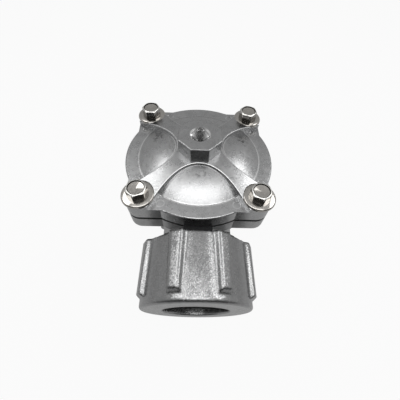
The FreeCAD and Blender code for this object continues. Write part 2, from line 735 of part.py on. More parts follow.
def nodes():
    parts = {
        "body": body(),
        "cover": cover(),
        "diaphragm": diaphragm(),
        "diaphragm_top_plate": top_plate(),
        "diaphragm_seat_disc": seat_disc(),
        "diaphragm_rivet": rivet(),
        "closing_spring": closing_spring(),
        "inlet_nut": on_inlet(compression_nut(-INLET_RIB_CLOCK + 180)),
        "inlet_thrust_ring": on_inlet(thrust_ring()),
        "inlet_seal": on_inlet(seal()),
        "outlet_nut": compression_nut(OUTLET_RIB_CLOCK),
        "outlet_thrust_ring": thrust_ring(),
        "outlet_seal": seal(),
    }
    for name, corner in CORNERS.items():
        parts["cover_bolt_" + name] = at_ear(cover_bolt(HEX_CLOCKS[name]), corner)
        parts["cover_washer_" + name] = at_ear(conical_washer(), corner)
    return parts


os.makedirs("parts", exist_ok=True)
for name, shape in nodes().items():
    shape.exportStep("parts/" + name + ".step")
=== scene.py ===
import math

import bmesh
import bpy
from mathutils import Euler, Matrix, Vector
from mathutils.geometry import tessellate_polygon

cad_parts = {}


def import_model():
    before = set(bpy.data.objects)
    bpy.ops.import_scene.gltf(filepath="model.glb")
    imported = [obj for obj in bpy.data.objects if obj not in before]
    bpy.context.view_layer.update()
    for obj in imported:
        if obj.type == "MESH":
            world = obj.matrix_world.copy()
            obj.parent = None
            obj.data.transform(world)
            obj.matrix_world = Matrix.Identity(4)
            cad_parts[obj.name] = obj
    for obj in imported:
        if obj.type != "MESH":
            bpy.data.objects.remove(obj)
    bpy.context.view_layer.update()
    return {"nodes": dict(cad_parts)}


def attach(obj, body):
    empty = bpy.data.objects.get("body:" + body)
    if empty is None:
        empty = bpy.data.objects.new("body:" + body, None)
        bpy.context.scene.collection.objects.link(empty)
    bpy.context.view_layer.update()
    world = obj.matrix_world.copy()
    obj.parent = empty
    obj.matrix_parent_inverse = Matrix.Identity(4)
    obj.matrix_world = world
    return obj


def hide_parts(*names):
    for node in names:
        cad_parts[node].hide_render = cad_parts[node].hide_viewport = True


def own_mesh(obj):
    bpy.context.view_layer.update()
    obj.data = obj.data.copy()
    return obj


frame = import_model()
scene = bpy.context.scene

MM = 0.001

# Sizes of the CAD model that the pieces below are fitted to, in millimetres
INLET_FACE = -82.5
INLET_HEIGHT = 61.9
PARTING_HEIGHT = 83.8
COVER_BOTTOM = 85.8
COVER_TOP = 94.0
EAR_SEAT = 96.6
WASHER_TOP = 97.9
POCKET_TOP = 100.0
HEAD_TOP = 103.2
BOSS_TOP = 110.2
BOSS_HALF = 12.0
PORT_RADIUS = 4.86
COVER_RADIUS = 43.9
EAR_CENTRE = 31.75
EAR_RADIUS = 7.45
THREAD_RADIUS = 25.2
NUT_THREAD_RADIUS = 25.6
STUB_START = 12.5
STUB_END = 33.9
DISH_TOP = 77.8
DISH_INNER = 19.0
DISH_OUTER = 31.5
SHEET = 2.0
PLATE_TOP = 79.3
PETAL_APEX = 13.4
PETAL_SPREAD = 0.03816
EJECTOR_MARK = (34.99, 20.2)
EJECTOR_RADIUS = 2.1
CORNERS = {"front_left": (-1, -1), "front_right": (1, -1), "back_left": (-1, 1), "back_right": (1, 1)}

# Marks on the cover, in millimetres, with their strengths as shares
STAINS = ((-24.9, 10.2), (25.7, 8.9), (1.3, -18.0))
STAIN_CORE = 1.0
STAIN_REACH = 5.5
STAIN_STRENGTH = 0.8
# Painted highlights: pale lines round the ring, round the ejector marks and beside the petals' edges
EDGE_HIGHLIGHT_STRENGTH = 0.8
HIGHLIGHT_RING = 36.1
HIGHLIGHT_RING_HALF = 0.7
EJECTOR_HIGHLIGHT_HALF = 0.35
EJECTOR_HIGHLIGHT_STRENGTH = 0.6
PETAL_LINES = (-0.7, 0.6)
PETAL_HIGHLIGHT_HALF = 0.4
PETAL_HIGHLIGHT_STRENGTH = 0.8
MACHINED_RADIUS = 5.7
BOSS_EDGE = 0.5
BOSS_RIM_WIDTH = 0.8
BOSS_RIM_DEPTH = 0.9
BOSS_RIM_FADE = 0.3
FADE = 0.2

# Bolts and washers, in millimetres
HEX_HALF = 5.0
HEX_CORNER_ROUND = 0.97
HEX_CONE = math.tan(math.radians(22))
HEX_CLOCKS = {"front_left": 20.0, "front_right": 38.0, "back_left": 0.0, "back_right": 40.0}
EDGE_BREAK = 0.12
RIM_OUTER = 4.55
RIM_INNER = 4.45
DISC_RADIUS = 4.1
DISC_DEPTH = 0.5
DISC_CENTRE = 0.85
DISC_GROOVE = 0.25
SHANK_RADIUS = 3.0
SHANK_LENGTH = 22.0
SHANK_BEVEL = 0.6
WASHER_BORE = 3.1
WASHER_RADIUS = 8.0
WASHER_EDGE = 0.6
WASHER_FLAT = 5.6

# Threads, in millimetres
RIDGE_ROOT = 0.12
RIDGE_SHARE = 0.46
NUT_PITCH = 2.0
NUT_RIDGE = 0.3
PORT_PITCH = 0.907
PORT_RIDGE = 0.3
THREAD_RUNOUT = 1.0

# Diaphragm and spring, in millimetres
BOLT_HOLE = 3.3
TAB_HALF = 7.8
TAB_FRONT = 46.4
RIVET_HOLE = 2.6
BLEED_RADIUS = 1.0
BLEED_AT = 17.4
FOLD_BEND = 6.0
SPRING_RADIUS = 7.9
SPRING_WIRE = 1.2
SPRING_GAP = 0.1
SPRING_ENDS = 0.7
SPRING_COILS = 3.0

# Mesh fineness
ROUND_STEPS = 4
LATHE_STEPS = 72
HEX_STEPS = 96
SCREW_STEPS = 60
SPRING_STEPS = 40
SPRING_SIDES = 10
SHARP_ANGLE = 35.0

# Finishes: colours as shares of light, polish as the reach of the roughness, grain and depth in metres
CASTINGS = {
    "cover_casting": {
        "dark": 0.35, "light": 0.44, "polish": (0.25, 0.33),
        "grain": 0.0005, "tilt": 0.05, "speckle": 0.3,
    },
    "body_casting": {
        "dark": 0.32, "light": 0.42, "polish": (0.32, 0.44),
        "grain": 0.0005, "tilt": 0.1, "speckle": 0.5,
    },
    "nut_casting": {
        "dark": 0.24, "light": 0.31, "polish": (0.21, 0.29),
        "grain": 0.0004, "tilt": 0.12, "speckle": 0.9,
    },
}
CLOUD_SCALE = 90
CLOUD_SHARE = 0.6
FLOW_SCALE = 260
SPECK_GAIN = 1.5
SKIN_SCALE = 300
SKIN_DEPTH = 0.00008
NUT_EDGE = 2.0
STAIN_SCALE = 500
STAIN_GREY = 0.08
EDGE_HIGHLIGHT_GREY = 0.85
MACHINED_GREY = 0.8
STEEL = ((0.46, 0.44, 0.41, 1), (0.56, 0.54, 0.51, 1))
# Painted highlight: the lighter colour of the bolts' rims
STEEL_RIM_HIGHLIGHT = (0.74, 0.73, 0.7, 1)
STEEL_POLISH = (0.1, 0.18)
# Painted shade: darker grey on the bolts' upright faces, and how much of it
STEEL_SIDE_SHADE_GREY = 0.12
STEEL_SIDE_SHADE_STRENGTH = 0.55
# Painted shade in the groove round each bolt's disc
GROOVE_SHADE_GREY = 0.03
GROOVE_SHADE_STRENGTH = 0.9
PLATED = ((0.42, 0.42, 0.4, 1), (0.56, 0.56, 0.54, 1))
DRAWN = ((0.36, 0.36, 0.36, 1), (0.5, 0.5, 0.5, 1))
RUBBER = ((0.004, 0.004, 0.005, 1), (0.014, 0.014, 0.015, 1))
NYLON = ((0.74, 0.72, 0.66, 1), (0.84, 0.82, 0.77, 1))

# Studio, in metres and watts, with the camera's turn in degrees and its lens in millimetres
FLOOR_HALF = 3.0
FLOOR_GREYS = (0.5, 0.56)
FLOOR_WHITE = 0.93
MIRRORED_WHITE = 0.22
HORIZON_LEVEL = 0.56
ZENITH_LEVEL = 0.46
ZENITH_GLOW = 0.4
GLOW_SHARPNESS = 6
FRONT_LEVEL = 0.15
FRONT_FADE = (-0.6, -0.1)
BACK_LEVEL = 0.72
BACK_FADE = (0.2, 1)
LIGHT_TARGET = (0, 0, 0.08)
LAMPS = {
    "overhead": {"place": (0.0, -0.13, 0.75), "size": (0.6, 0.34), "power": 1.45},
    "left": {"place": (-0.36, 0.16, 0.65), "size": (0.44, 0.17), "power": 0.75},
    "right": {"place": (0.43, 0.155, 0.61), "size": (0.44, 0.17), "power": 0.9},
}
CAMERA_PLACE = (-0.00271, -0.09811, 0.19721)
CAMERA_TURN = (32.46, -2.11, 0.37)
CAMERA_SENSOR = 36.0
CAMERA_LENS = 20.70
CAMERA_NEAR = 0.005
CAMERA_FAR = 20


# Node helpers

class Nodes:
    """Short names for building a material's node tree."""

    def __init__(self, owner):
        owner.use_nodes = True
        self.tree = owner.node_tree
        self.tree.nodes.clear()

    def add(self, kind, values=None, **settings):
        node = self.tree.nodes.new("ShaderNode" + kind)
        for key, value in settings.items():
            setattr(node, key, value)
        for key, value in (values or {}).items():
            self.put(node, key, value)
        return node

    def put(self, node, key, value):
        socket = node.inputs[key]
        if isinstance(value, bpy.types.NodeSocket):
            self.tree.links.new(value, socket)
        else:
            socket.default_value = value

    def place(self):
        """Object coordinates, which are the model's own metres."""
        return self.add("TexCoord").outputs["Object"]

    def normal(self):
        return self.add("NewGeometry").outputs["Normal"]

    def worn_edge(self, radius):
        """Surface normal as if the edges were rounded by this many millimetres."""
        return self.add("Bevel", {"Radius": radius * MM}, samples=8).outputs[0]

    def noise(self, scale, detail=2.0, roughness=0.5, distortion=0.0):
        values = {"Scale": scale, "Detail": detail, "Roughness": roughness, "Distortion": distortion}
        return self.add("TexNoise", {**values, "Vector": self.place()}).outputs["Fac"]

    def spread(self, value, low, high, start=0.0, end=1.0):
        """Maps a value between start and end to between low and high."""
        values = {"Value": value, "From Min": start, "From Max": end, "To Min": low, "To Max": high}
        return self.add("MapRange", values).outputs["Result"]

    def patches(self, noise, low=0.0, high=1.0, reach=(0.3, 0.7)):
        """Maps the usual reach of a noise to between low and high."""
        return self.spread(noise, low, high, *reach)

    def rise(self, value, start, end):
        """0 up to start and 1 past end, both in millimetres."""
        return self.spread(value, 0, 1, start * MM, end * MM)

    def fall(self, value, start, end):
        """1 up to start and 0 past end, both in millimetres."""
        return self.spread(value, 1, 0, start * MM, end * MM)

    def line(self, value, centre, half):
        """1 where a distance equals the centre, fading to 0 half a width away, in millimetres."""
        off = self.maths("ABSOLUTE", self.maths("SUBTRACT", value, centre * MM))
        return self.fall(off, 0, half)

    def blend(self, share, one, other):
        """Colour that goes from one to the other as the share goes from 0 to 1."""
        node = self.add("Mix", data_type="RGBA")
        for index, value in ((0, share), (6, one), (7, other)):
            self.put(node, index, value)
        return node.outputs[2]

    def maths(self, operation, one, other=0.0):
        return self.add("Math", {0: one, 1: other}, operation=operation).outputs[0]

    def times(self, one, other):
        return self.maths("MULTIPLY", one, other)

    def vectors(self, operation, one, other=(0, 0, 0)):
        return self.add("VectorMath", {0: one, 1: other}, operation=operation).outputs[0]

    def split(self, vector):
        return self.add("SeparateXYZ", {"Vector": vector}).outputs

    def join(self, x, y):
        return self.add("CombineXYZ", {"X": x, "Y": y}).outputs[0]

    def length(self, vector):
        return self.add("VectorMath", {0: vector}, operation="LENGTH").outputs["Value"]

    def distance(self, vector, x, y):
        """Distance in plan to a point given in millimetres."""
        point = (x * MM, y * MM, 0)
        return self.add("VectorMath", {0: vector, 1: point}, operation="DISTANCE").outputs["Value"]

    def bump(self, height, distance, strength=1.0, normal=None):
        values = {"Height": height, "Distance": distance, "Strength": strength}
        if normal:
            values["Normal"] = normal
        return self.add("Bump", values).outputs["Normal"]

    def tilted(self, size, amount, normal):
        """Surface normal tilted a little and differently in each small cell, as in a blasted grain."""
        cells = self.add("TexVoronoi", {"Scale": 1 / size, "Vector": self.place()}).outputs["Color"]
        tilt = self.vectors("SUBTRACT", cells, (0.5, 0.5, 0.5))
        scaled = self.add("VectorMath", {0: tilt, "Scale": amount}, operation="SCALE").outputs[0]
        return self.vectors("NORMALIZE", self.vectors("ADD", normal, scaled))

    def metal(self, colour, roughness, normal, **extra):
        values = {"Base Color": colour, "Metallic": 1.0, "Roughness": roughness, "Normal": normal}
        self.finish({**values, **extra})

    def finish(self, values):
        shader = self.add("BsdfPrincipled", values)
        self.add("OutputMaterial", {"Surface": shader.outputs[0]})


def grey(level, warmth=0.0):
    return (level * (1 + warmth), level, level * (1 - warmth), 1)


finishes = {}


def new_finish(name):
    """Starts the material for one of the record's slots."""
    finishes[name] = bpy.data.materials.new(name + "_finish")
    return Nodes(finishes[name])


# Cast aluminium

def cast_aluminium(name, dark, light, polish, grain, tilt, speckle, marks=None, edge=0.0):
    """Bare die-cast aluminium with clouds, uneven polish and a fine grain, and worn edges in millimetres."""
    n = new_finish(name)
    clouds = n.noise(CLOUD_SCALE, detail=4, roughness=0.6)
    flow = n.noise(FLOW_SCALE, detail=3, roughness=0.7, distortion=0.6)
    specks = n.noise(1 / grain, detail=2, roughness=0.7)
    both = n.maths("ADD", n.times(clouds, CLOUD_SHARE), n.times(flow, 1 - CLOUD_SHARE))
    cloudy = n.blend(n.patches(both, reach=(0.32, 0.68)), grey(dark, -0.008), grey(light, -0.004))
    colour = n.blend(n.patches(specks, 0, speckle, reach=(0.45, 0.7)), cloudy, grey(light * SPECK_GAIN))
    rough = n.patches(flow, *polish)
    surface = n.worn_edge(edge) if edge else n.normal()
    if marks:
        colour, rough, tilt, surface = marks(n, colour, rough, tilt)
    skin_normal = n.bump(n.noise(SKIN_SCALE, detail=1), SKIN_DEPTH, 0.3, surface)
    n.metal(colour, rough, n.tilted(grain, tilt, skin_normal))


def plan(n):
    """Height, place in plan, and the larger and smaller distance from the two mid planes."""
    parts = n.split(n.place())
    across, along = n.maths("ABSOLUTE", parts["X"]), n.maths("ABSOLUTE", parts["Y"])
    far, near = n.maths("MAXIMUM", across, along), n.maths("MINIMUM", across, along)
    return parts["Z"], n.join(parts["X"], parts["Y"]), far, near


def stained(n, colour, flat):
    """Uneven dark stains on three petals."""
    uneven = n.patches(n.noise(STAIN_SCALE, detail=4), reach=(0.5, 0.62))
    for x, y in STAINS:
        spot = n.fall(n.distance(flat, x, y), STAIN_CORE, STAIN_REACH)
        colour = n.blend(n.times(n.times(spot, uneven), STAIN_STRENGTH), colour, grey(STAIN_GREY))
    return colour


def ring_highlights(n, height, flat, far, near):
    """Share of painted highlight on the flat ring: one line round it, and fainter ones round the ejector
    marks.
    """
    low = n.fall(height, COVER_TOP + 3 * FADE, COVER_TOP + 4 * FADE)
    ring = n.line(n.length(flat), HIGHLIGHT_RING, HIGHLIGHT_RING_HALF)
    from_mark = n.distance(n.join(far, near), *EJECTOR_MARK)
    mark = n.times(n.line(from_mark, EJECTOR_RADIUS, EJECTOR_HIGHLIGHT_HALF), EJECTOR_HIGHLIGHT_STRENGTH)
    return n.times(n.maths("MAXIMUM", ring, mark), low)


def petal_edge_highlights(n, height, far, near):
    """Share of painted highlight along both sides of the petals' outlines, which are parabolas."""
    outline = n.maths("ADD", n.times(n.maths("POWER", near, 2), PETAL_SPREAD / MM), PETAL_APEX * MM)
    into_petal = n.maths("SUBTRACT", far, outline)
    one, other = [n.line(into_petal, offset, PETAL_HIGHLIGHT_HALF) for offset in PETAL_LINES]
    on_top = n.rise(height, COVER_TOP - 2 * FADE, COVER_TOP - FADE)
    return n.times(n.times(n.maths("MAXIMUM", one, other), on_top), PETAL_HIGHLIGHT_STRENGTH)


def boss_rim(n, height, far, near):
    """1 along the octagonal boss's upper edge and 0 elsewhere."""
    corner_reach = n.times(n.maths("ADD", far, near), math.sqrt(0.5))
    side, foot = BOSS_HALF - BOSS_RIM_WIDTH, BOSS_TOP - BOSS_RIM_DEPTH
    outer = n.rise(n.maths("MAXIMUM", far, corner_reach), side, side + BOSS_RIM_FADE)
    return n.times(outer, n.rise(height, foot, foot + FADE))


def cover_marks(n, colour, rough, tilt):
    """Stains, painted highlights along edges, a worn boss edge and a machined pilot hole."""
    height, flat, far, near = plan(n)
    # Painted highlights: pale lines along the ring, the ejector marks and the petals' edges
    pale = n.maths("MAXIMUM", ring_highlights(n, height, flat, far, near), petal_edge_highlights(n, height, far, near))
    colour = n.blend(n.times(pale, EDGE_HIGHLIGHT_STRENGTH), stained(n, colour, flat), grey(EDGE_HIGHLIGHT_GREY))
    machined = n.fall(n.length(flat), MACHINED_RADIUS, MACHINED_RADIUS + FADE)
    colour = n.blend(machined, colour, grey(MACHINED_GREY))
    rough = n.maths("SUBTRACT", rough, n.times(machined, 0.1))
    surface = n.blend(boss_rim(n, height, far, near), n.normal(), n.worn_edge(BOSS_EDGE))
    return colour, rough, n.spread(machined, tilt, 0), surface


# Stainless steel of the bolts and washers

def bolt_space(n):
    """Height, distance from the nearest bolt's axis and direction away from that axis."""
    parts = n.split(n.place())
    sides = [n.times(n.maths("SIGN", parts[key]), EAR_CENTRE * MM) for key in "XY"]
    outward = n.join(n.maths("SUBTRACT", parts["X"], sides[0]), n.maths("SUBTRACT", parts["Y"], sides[1]))
    return parts["Z"], n.length(outward), n.vectors("NORMALIZE", outward)


def head_rim(n, height, radius):
    """1 on the flat rim and the cone of a bolt's head."""
    high = n.rise(height, HEAD_TOP - 0.45, HEAD_TOP - 0.4)
    return n.times(high, n.rise(radius, RIM_INNER - 0.1, RIM_INNER))


def head_groove(n, height, radius):
    """1 in the groove between the rim and the disc of a bolt's head."""
    in_head = n.rise(height, WASHER_TOP, WASHER_TOP + 0.1)
    past_disc = n.rise(radius, DISC_RADIUS - 0.15, DISC_RADIUS)
    before_rim = n.fall(radius, RIM_INNER - 0.05, RIM_INNER)
    return n.times(in_head, n.times(past_disc, before_rim))


def stainless():
    """Steel turned about each bolt's axis, with a painted highlight on the rim, painted shade in the groove
    and painted shade on the upright sides.
    """
    n = new_finish("stainless")
    height, radius, turned = bolt_space(n)
    rim = head_rim(n, height, radius)
    # Painted shade: share of darkening on upright faces
    upright_shade = n.spread(n.maths("ABSOLUTE", n.split(n.normal())["Z"]), 1, 0, 0.1, 0.3)
    worn = n.noise(900, detail=3, roughness=0.6)
    # Painted highlight: the rim is given a lighter colour
    colour = n.blend(rim, n.blend(n.patches(worn), *STEEL), STEEL_RIM_HIGHLIGHT)
    colour = n.blend(n.times(upright_shade, STEEL_SIDE_SHADE_STRENGTH), colour, grey(STEEL_SIDE_SHADE_GREY))
    # Painted shade in the groove between rim and disc
    colour = n.blend(n.times(head_groove(n, height, radius), GROOVE_SHADE_STRENGTH), colour, grey(GROOVE_SHADE_GREY))
    rough = n.maths("ADD", n.patches(n.noise(500), *STEEL_POLISH), n.times(rim, 0.15))
    n.metal(colour, rough, n.bump(n.noise(1500), 0.000004, 0.5), Anisotropic=0.7, Tangent=turned)


# Plain metals, rubber and nylon

def plain_metal(name, scale, colours, polish, relief):
    """Metal with fine wear, as plated or drawn."""
    n = new_finish(name)
    worn = n.noise(scale, detail=3)
    n.metal(n.blend(n.patches(worn), *colours), n.patches(worn, *polish), n.bump(worn, relief))


def rubber():
    n = new_finish("rubber")
    dust = n.noise(700, detail=4, roughness=0.65)
    values = {"Base Color": n.blend(n.patches(dust, reach=(0.3, 0.75)), *RUBBER)}
    values["Roughness"] = n.patches(dust, 0.5, 0.68)
    values["Specular IOR Level"] = 0.25
    values["Normal"] = n.bump(dust, 0.00005)
    n.finish(values)


def nylon():
    n = new_finish("nylon")
    flow = n.noise(300, detail=3)
    values = {"Base Color": n.blend(n.patches(flow), *NYLON)}
    values["Roughness"] = n.patches(flow, 0.4, 0.55)
    values["Normal"] = n.bump(flow, 0.00004)
    n.finish(values)


def make_materials():
    cast_aluminium("cover_casting", marks=cover_marks, **CASTINGS["cover_casting"])
    cast_aluminium("body_casting", **CASTINGS["body_casting"])
    cast_aluminium("nut_casting", edge=NUT_EDGE, **CASTINGS["nut_casting"])
    plain_metal("plated_steel", scale=500, colours=PLATED, polish=(0.25, 0.42), relief=0.00003)
    plain_metal("spring_steel", scale=1200, colours=DRAWN, polish=(0.22, 0.36), relief=0.00002)
    stainless()
    rubber()
    nylon()


def dress(nodes, name):
    """Gives CAD nodes a material."""
    for node in nodes:
        for slot in frame["nodes"][node].material_slots:
            slot.material = finishes[name]


# Mesh helpers, in millimetres

def rounded(corners):
    """Outline through (u, v) or (u, v, radius) corners, each rounded corner as a few points."""
    outline = []
    for index, corner in enumerate(corners):
        point = Vector(corner[:2])
        radius = corner[2] if len(corner) > 2 else 0
        if not radius:
            outline.append(tuple(point))
            continue
        back = (Vector(corners[index - 1][:2]) - point).normalized()
        ahead = (Vector(corners[(index + 1) % len(corners)][:2]) - point).normalized()
        half = back.angle(ahead) / 2
        centre = point + (back + ahead).normalized() * radius / math.sin(half)
        start = point + back * radius / math.tan(half) - centre
        end = point + ahead * radius / math.tan(half) - centre
        for step in range(ROUND_STEPS + 1):
            outline.append(tuple(centre + start.slerp(end, step / ROUND_STEPS)))
    return outline


def skin(rings, joined=False):
    """Vertices and faces of a surface through closed rings, its two ends joined or capped."""
    count = len(rings[0])
    vertices = [point for ring in rings for point in ring]
    faces = []
    for i in range(len(rings) if joined else len(rings) - 1):
        j = (i + 1) % len(rings)
        for k in range(count):
            m = (k + 1) % count
            faces.append((i * count + k, i * count + m, j * count + m, j * count + k))
    if not joined:
        last = len(vertices) - count
        faces += [tuple(range(count)), tuple(range(last, last + count))]
    return vertices, faces


def piece(name, shape, body, slot, replaced=()):
    """Object from (vertices, faces) in millimetres that rides a body and may stand for CAD nodes."""
    mesh = bpy.data.meshes.new(name)
    vertices, faces = shape
    mesh.from_pydata([[c * MM for c in vertex] for vertex in vertices], [], faces)
    shell = bmesh.new()
    shell.from_mesh(mesh)
    bmesh.ops.recalc_face_normals(shell, faces=shell.faces)
    shell.to_mesh(mesh)
    shell.free()
    mesh.shade_smooth()
    mesh.set_sharp_from_angle(angle=math.radians(SHARP_ANGLE))
    mesh.materials.append(finishes[slot])
    made = bpy.data.objects.new(name, mesh)
    scene.collection.objects.link(made)
    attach(made, body)
    if replaced:
        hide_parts(*replaced)
    return made


def turns(steps):
    """Angles of a full turn in equal steps."""
    return [2 * math.pi * step / steps for step in range(steps)]


def circle(radius, x=0.0, y=0.0):
    return [(x + radius * math.cos(a), y + radius * math.sin(a)) for a in turns(LATHE_STEPS)]


def lathe(corners, x=0.0, y=0.0):
    """Ring turned about an upright axis from a closed outline of (radius, height) corners."""
    outline = rounded(corners)
    rings = []
    for angle in turns(LATHE_STEPS):
        rings.append([(x + r * math.cos(angle), y + r * math.sin(angle), z) for r, z in outline])
    return skin(rings, joined=True)


def sheet(outline, holes, bottom, top):
    """Flat plate with holes, from plan loops of (x, y)."""
    loops = [outline] + holes
    flat = [Vector((x, y, 0)) for loop in loops for x, y in loop]
    triangles = tessellate_polygon([[Vector((x, y, 0)) for x, y in loop] for loop in loops])
    count = len(flat)
    vertices = [(p.x, p.y, bottom) for p in flat] + [(p.x, p.y, top) for p in flat]
    faces = [tuple(t) for t in triangles] + [tuple(i + count for i in t) for t in triangles]
    start = 0
    for loop in loops:
        for k in range(len(loop)):
            a, b = start + k, start + (k + 1) % len(loop)
            faces.append((a, b, b + count, a + count))
        start += len(loop)
    return vertices, faces


def screw_ridge(radius, height, pitch, start, end, place=lambda point: point):
    """Right-hand thread ridge on a cylinder about Z, growing and fading over half a turn at its ends.

    A negative height points inwards, as in a nut.
    """
    root = radius - math.copysign(RIDGE_ROOT, height)
    half = pitch * RIDGE_SHARE
    steps = int((end - start) / pitch * SCREW_STEPS)
    rings = []
    for step in range(steps + 1):
        angle = 2 * math.pi * step / SCREW_STEPS
        z = start + pitch * step / SCREW_STEPS
        grown = min(1, 2 * step / SCREW_STEPS, 2 * (steps - step) / SCREW_STEPS)
        profile = [(root, z - half), (radius + height * grown, z), (root, z + half)]
        rings.append([place((r * math.cos(angle), r * math.sin(angle), h)) for r, h in profile])
    return skin(rings)


def on_inlet(point):
    """Moves a port point from the outlet, facing -Z, to the inlet, facing -Y."""
    x, y, z = point
    return (x, INLET_FACE + z, INLET_HEIGHT - y)


# Bolts and washers

def hexagon(angle):
    """Distance from the axis to the hexagon's side, with its corners slightly rounded."""
    turn = angle % (math.pi / 3) - math.pi / 6
    corner = HEX_HALF / math.cos(math.pi / 6)
    return min(HEX_HALF / math.cos(turn), corner * HEX_CORNER_ROUND)


def bolt(x, y, twist):
    """Hex bolt: shank, chamfered hexagon, bright rim, and a turned recess with a shallow cone."""
    angles = turns(HEX_STEPS)
    sides = [hexagon(a) for a in angles]
    inner = [side - EDGE_BREAK for side in sides]

    def ring(radius, height):
        radii = radius if isinstance(radius, list) else [radius] * HEX_STEPS
        heights = height if isinstance(height, list) else [height] * HEX_STEPS
        return [(x + r * math.cos(a + twist), y + r * math.sin(a + twist), h)
                for r, h, a in zip(radii, heights, angles)]

    shoulder = [HEAD_TOP - (side - RIM_OUTER) * HEX_CONE for side in sides]
    foot = WASHER_TOP - SHANK_LENGTH
    disc_edge = HEAD_TOP - DISC_DEPTH
    return skin([
        ring(SHANK_RADIUS - SHANK_BEVEL, foot),
        ring(SHANK_RADIUS, foot + SHANK_BEVEL),
        ring(SHANK_RADIUS, WASHER_TOP),
        ring(inner, WASHER_TOP),
        ring(sides, WASHER_TOP + EDGE_BREAK),
        ring(sides, [height - EDGE_BREAK for height in shoulder]),
        ring(inner, shoulder),
        ring(RIM_OUTER, HEAD_TOP),
        ring(RIM_INNER, HEAD_TOP),
        ring(RIM_INNER - EDGE_BREAK, disc_edge - DISC_GROOVE),
        ring(DISC_RADIUS, disc_edge - DISC_GROOVE),
        ring(DISC_RADIUS - EDGE_BREAK, disc_edge),
        ring(EDGE_BREAK, HEAD_TOP - DISC_CENTRE),
    ])


def washer(x, y):
    """Washer with a rolled edge and a low cone up to the bolt's head."""
    return lathe([
        (WASHER_BORE, EAR_SEAT),
        (WASHER_RADIUS, EAR_SEAT, 0.2),
        (WASHER_RADIUS, EAR_SEAT + WASHER_EDGE, 0.25),
        (WASHER_FLAT, WASHER_TOP),
        (WASHER_BORE, WASHER_TOP),
    ], x, y)


def fasteners():
    for name, (sx, sy) in CORNERS.items():
        x, y = sx * EAR_CENTRE, sy * EAR_CENTRE
        head = bolt(x, y, math.radians(HEX_CLOCKS[name]))
        piece("bolt_" + name, head, "valve_body", "stainless", ["cover_bolt_" + name])
        piece("washer_" + name, washer(x, y), "valve_body", "stainless", ["cover_washer_" + name])


# Threads

def threads():
    """Ridges on both stubs, in both nuts and in the pilot port."""
    stub = (STUB_START + NUT_PITCH, STUB_END - THREAD_RUNOUT)
    nut = (STUB_START - NUT_PITCH / 2, STUB_END - 2 * THREAD_RUNOUT)
    for port, place in (("inlet", on_inlet), ("outlet", lambda point: point)):
        outside = screw_ridge(THREAD_RADIUS, NUT_RIDGE, NUT_PITCH, *stub, place)
        inside = screw_ridge(NUT_THREAD_RADIUS, -NUT_RIDGE, NUT_PITCH, *nut, place)
        piece(port + "_stub_thread", outside, "valve_body", "body_casting")
        piece(port + "_nut_thread", inside, port + "_nut_body", "nut_casting")
    bottom, top = POCKET_TOP + THREAD_RUNOUT, BOSS_TOP - THREAD_RUNOUT
    pilot = screw_ridge(PORT_RADIUS, -PORT_RIDGE, PORT_PITCH, bottom, top)
    piece("pilot_port_thread", pilot, "valve_body", "cover_casting")


# Diaphragm

def rim_distance(angle):
    """Distance from the axis to the diaphragm's edge: round, with four ears and a tab in front."""
    across, along = abs(math.cos(angle)), abs(math.sin(angle))
    wide, narrow = max(across, along), min(across, along)
    side = (EAR_CENTRE + EAR_RADIUS) / wide
    if side * narrow > EAR_CENTRE:
        reach = EAR_CENTRE * (wide + narrow)
        side = reach + math.sqrt(reach ** 2 - 2 * EAR_CENTRE ** 2 + EAR_RADIUS ** 2)
    tab = 0
    if math.sin(angle) < 0:
        tab = TAB_FRONT / along
        if tab * across > TAB_HALF:
            tab = TAB_HALF / across
    return max(COVER_RADIUS, side, tab)


def rim_outline():
    """Plan of the diaphragm's edge, with a point at each of its corners."""
    root = math.sqrt(COVER_RADIUS ** 2 - TAB_HALF ** 2)
    ear_side = EAR_CENTRE + EAR_RADIUS
    ear_start = math.sqrt(COVER_RADIUS ** 2 - ear_side ** 2)
    corners = [(TAB_HALF, -root), (-TAB_HALF, -root), (TAB_HALF, -TAB_FRONT), (-TAB_HALF, -TAB_FRONT)]
    corners += [(sx * ear_side, sy * ear_start) for sx, sy in CORNERS.values()]
    corners += [(sx * ear_start, sy * ear_side) for sx, sy in CORNERS.values()]
    angles = [math.atan2(y, x) for x, y in corners]
    angles += [angle - math.pi for angle in turns(2 * LATHE_STEPS)]
    return [(rim_distance(a) * math.cos(a), rim_distance(a) * math.sin(a)) for a in sorted(angles)]


def diaphragm_fold():
    """Folding ring between the diaphragm's centre and its clamped rim."""
    return lathe([
        (DISH_INNER, DISH_TOP),
        (DISH_INNER + 2, DISH_TOP, FOLD_BEND / 2),
        (DISH_OUTER - 2, COVER_BOTTOM, FOLD_BEND / 2),
        (DISH_OUTER, COVER_BOTTOM),
        (DISH_OUTER, PARTING_HEIGHT),
        (DISH_OUTER - 1, PARTING_HEIGHT, FOLD_BEND),
        (DISH_INNER + 3, DISH_TOP - SHEET, FOLD_BEND),
        (DISH_INNER, DISH_TOP - SHEET),
    ])


def diaphragm():
    """Clamped rim, moving centre and the fold between them."""
    holes = [circle(BOLT_HOLE, sx * EAR_CENTRE, sy * EAR_CENTRE) for sx, sy in CORNERS.values()]
    rim = sheet(rim_outline(), [circle(DISH_OUTER)] + holes, PARTING_HEIGHT, COVER_BOTTOM)
    piece("diaphragm_rim", rim, "valve_body", "rubber", ["diaphragm"])
    centre_holes = [circle(RIVET_HOLE), circle(BLEED_RADIUS, BLEED_AT)]
    centre = sheet(circle(DISH_INNER), centre_holes, DISH_TOP - SHEET, DISH_TOP)
    piece("diaphragm_centre", centre, "diaphragm_set", "rubber")
    fold = piece("diaphragm_fold", diaphragm_fold(), "valve_body", "rubber")
    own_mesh(fold)


# Closing spring

